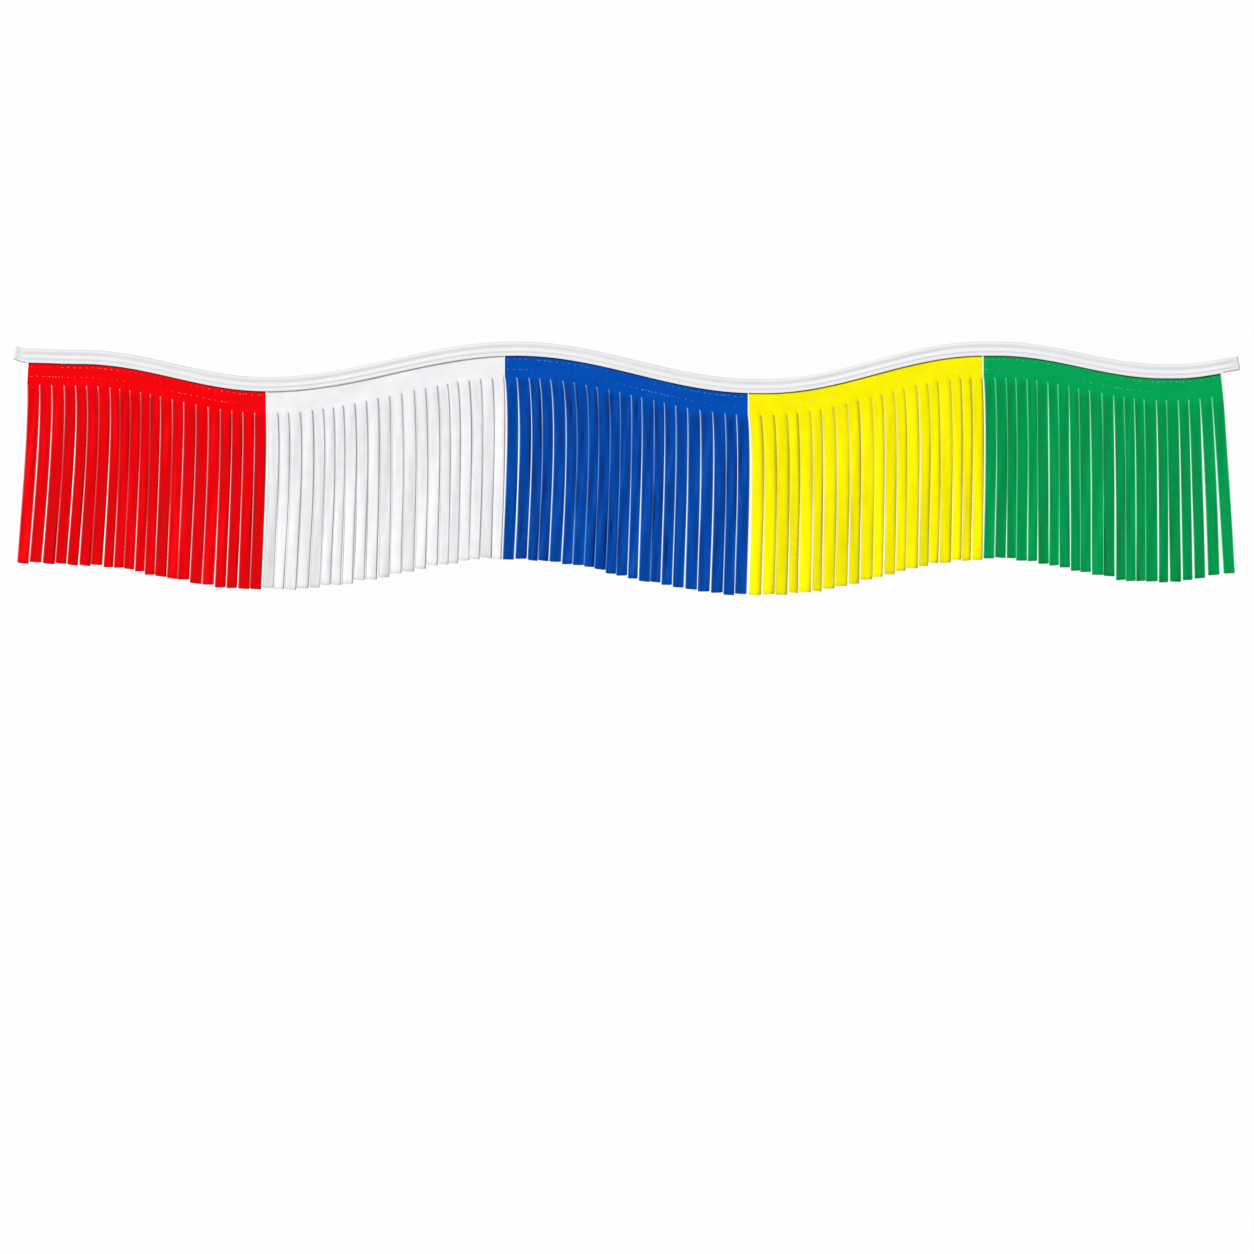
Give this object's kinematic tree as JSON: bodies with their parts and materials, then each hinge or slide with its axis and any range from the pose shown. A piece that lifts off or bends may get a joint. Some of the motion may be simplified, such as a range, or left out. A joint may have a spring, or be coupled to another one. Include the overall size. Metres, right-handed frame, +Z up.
{
  "type": "fringed pennant string",
  "caption": "Fringed pennant string: slit film panels in red, white, blue, yellow and green, hanging in shallow waves from a folded white header tape.",
  "frame": {"origin": "top edge of the header tape at its middle crest, where the string is held", "axes": "+X along the string to the viewer's right, +Y away from the viewer, +Z up"},
  "size_m": [1.5591, 0.0114, 0.3222],
  "materials": {
    "header_tape": "matt white folded tape, sewn along both edges",
    "red_film": "soft satin polyethylene film",
    "white_film": "soft satin polyethylene film",
    "blue_film": "soft satin polyethylene film",
    "yellow_film": "soft satin polyethylene film",
    "green_film": "soft satin polyethylene film"
  },
  "bodies": {
    "root": {"tape": "header_tape", "red_panel": "red_film", "white_panel": "white_film", "blue_panel": "blue_film", "yellow_panel": "yellow_film", "green_panel": "green_film"}
  },
  "joints": []
}
